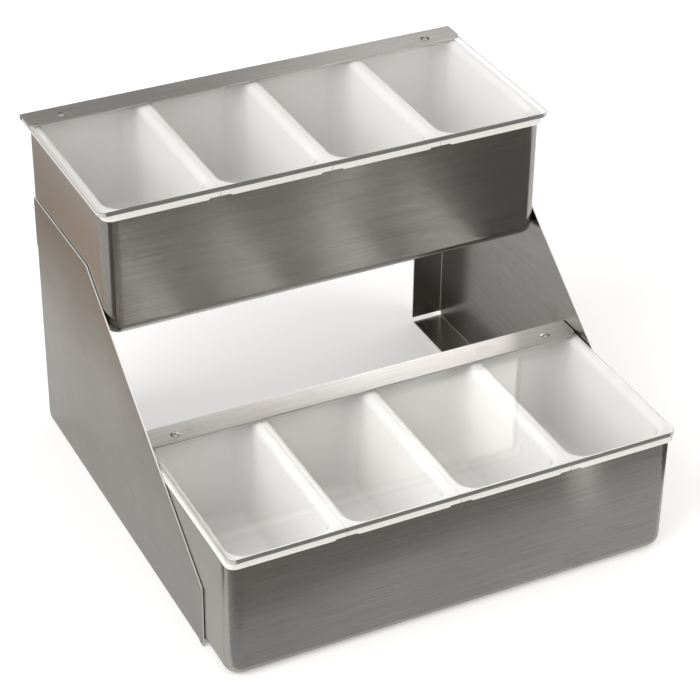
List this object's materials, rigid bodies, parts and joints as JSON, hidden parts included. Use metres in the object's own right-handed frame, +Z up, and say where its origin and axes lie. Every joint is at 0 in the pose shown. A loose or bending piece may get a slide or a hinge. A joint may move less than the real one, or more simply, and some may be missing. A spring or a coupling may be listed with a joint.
{
  "type": "condiment caddy with flip lids",
  "caption": "Two-tier countertop condiment caddy: steel pans on bent side panels, lift-out plastic inserts and clear lids on rear hinges that flip up.",
  "frame": {"origin": "centre of the bounding box at the base", "axes": "+Z up, +X to the right, the front faces -Y"},
  "size_m": [0.312, 0.3228, 0.232],
  "materials": {
    "panel_steel": "fine brushed stainless sheet",
    "pan_steel": "fine brushed stainless sheet",
    "strip_steel": "brushed lengthwise",
    "hinge_steel": "plain mill finish",
    "rivet_steel": "bright domed heads",
    "white_plastic": "satin moulded plastic",
    "clear_plastic": "clear polished sheet"
  },
  "bodies": {
    "caddy_frame": {"left_side_panel": "panel_steel", "right_side_panel": "panel_steel", "upper_pan": "pan_steel", "lower_pan": "pan_steel", "upper_insert_1": "white_plastic", "upper_insert_2": "white_plastic", "upper_insert_3": "white_plastic", "upper_insert_4": "white_plastic", "lower_insert_1": "white_plastic", "lower_insert_2": "white_plastic", "lower_insert_3": "white_plastic", "lower_insert_4": "white_plastic", "upper_hinge_brackets": "hinge_steel", "upper_hinge_rod": "hinge_steel", "lower_hinge_brackets": "hinge_steel", "lower_hinge_rod": "hinge_steel"},
    "upper_lid": {"upper_lid_strip": "strip_steel", "upper_lid_sheet": "clear_plastic", "upper_lid_rivets": "rivet_steel"},
    "lower_lid": {"lower_lid_strip": "strip_steel", "lower_lid_sheet": "clear_plastic", "lower_lid_rivets": "rivet_steel"}
  },
  "joints": [
    {"name": "upper_lid_hinge", "type": "hinge", "parent": "caddy_frame", "child": "upper_lid", "pos_m": [0, 0.15715, 0.22875], "axis": [-1, 0, 0], "range_deg": [0, 105]},
    {"name": "lower_lid_hinge", "type": "hinge", "parent": "caddy_frame", "child": "lower_lid", "pos_m": [0, -0.02215, 0.09175], "axis": [-1, 0, 0], "range_deg": [0, 105]}
  ]
}
